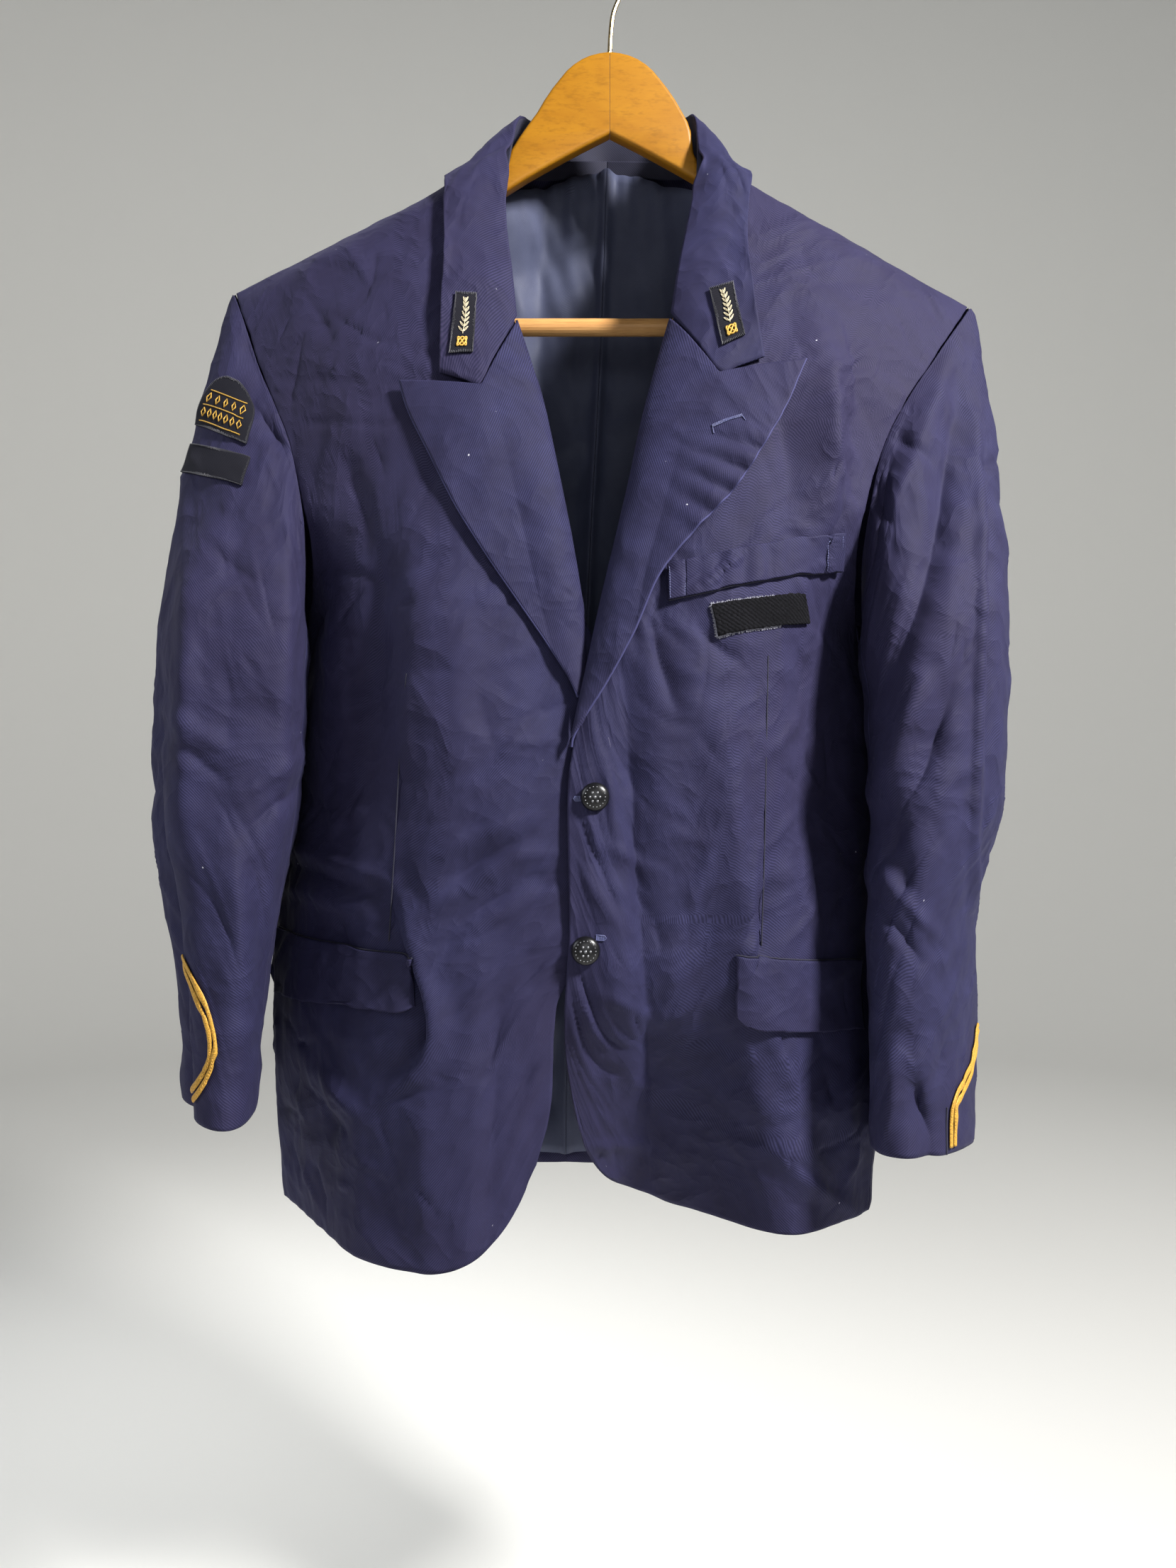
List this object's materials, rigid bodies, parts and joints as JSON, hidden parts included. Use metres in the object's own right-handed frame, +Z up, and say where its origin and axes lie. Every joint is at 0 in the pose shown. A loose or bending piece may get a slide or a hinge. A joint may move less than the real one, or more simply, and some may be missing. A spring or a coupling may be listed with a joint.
{
  "type": "railway work jacket on a wooden hanger",
  "caption": "Single-breasted uniform jacket with peak lapels, flap pockets, cuff braid and black badges, hanging on a wooden suit hanger with a wire hook.",
  "frame": {"origin": "inside top of the hanger's hook, where a rail would carry it", "axes": "+Z up, +X to the wearer's left, -Y the way the wearer faces"},
  "size_m": [0.5647, 0.2047, 0.8565],
  "materials": {
    "cloth": "navy wool and polyester serge",
    "lining": "slate blue satin",
    "band": "dark navy serge",
    "black": "black woven badge cloth",
    "gold": "gold braid",
    "button": "glossy black",
    "wood": "honey varnish",
    "bar": "pale turned wood",
    "brass": "thin brass-plated wire"
  },
  "bodies": {
    "root": {"front_left": "cloth", "front_right": "cloth", "back_left": "cloth", "back_right": "cloth", "side_left": "cloth", "side_right": "cloth", "sleeve_upper_left": "cloth", "sleeve_upper_right": "cloth", "sleeve_under_left": "cloth", "sleeve_under_right": "cloth", "lapel_left": "cloth", "lapel_right": "cloth", "collar_fall": "cloth", "collar_stand": "band", "neck_band_left": "band", "neck_band_right": "band", "lining_left": "lining", "lining_right": "lining", "flap_left": "cloth", "flap_right": "cloth", "chest_welt": "cloth", "chest_strip": "black", "sleeve_strip": "black", "shoulder_patch": "black", "collar_patch_left": "black", "collar_patch_right": "black", "cuff_braid_inner_left": "gold", "cuff_braid_outer_left": "gold", "cuff_braid_inner_right": "gold", "cuff_braid_outer_right": "gold", "button_upper": "button", "button_lower": "button", "hanger_arm_left": "wood", "hanger_arm_right": "wood", "hanger_bar": "bar", "hanger_hook": "brass"}
  },
  "joints": []
}
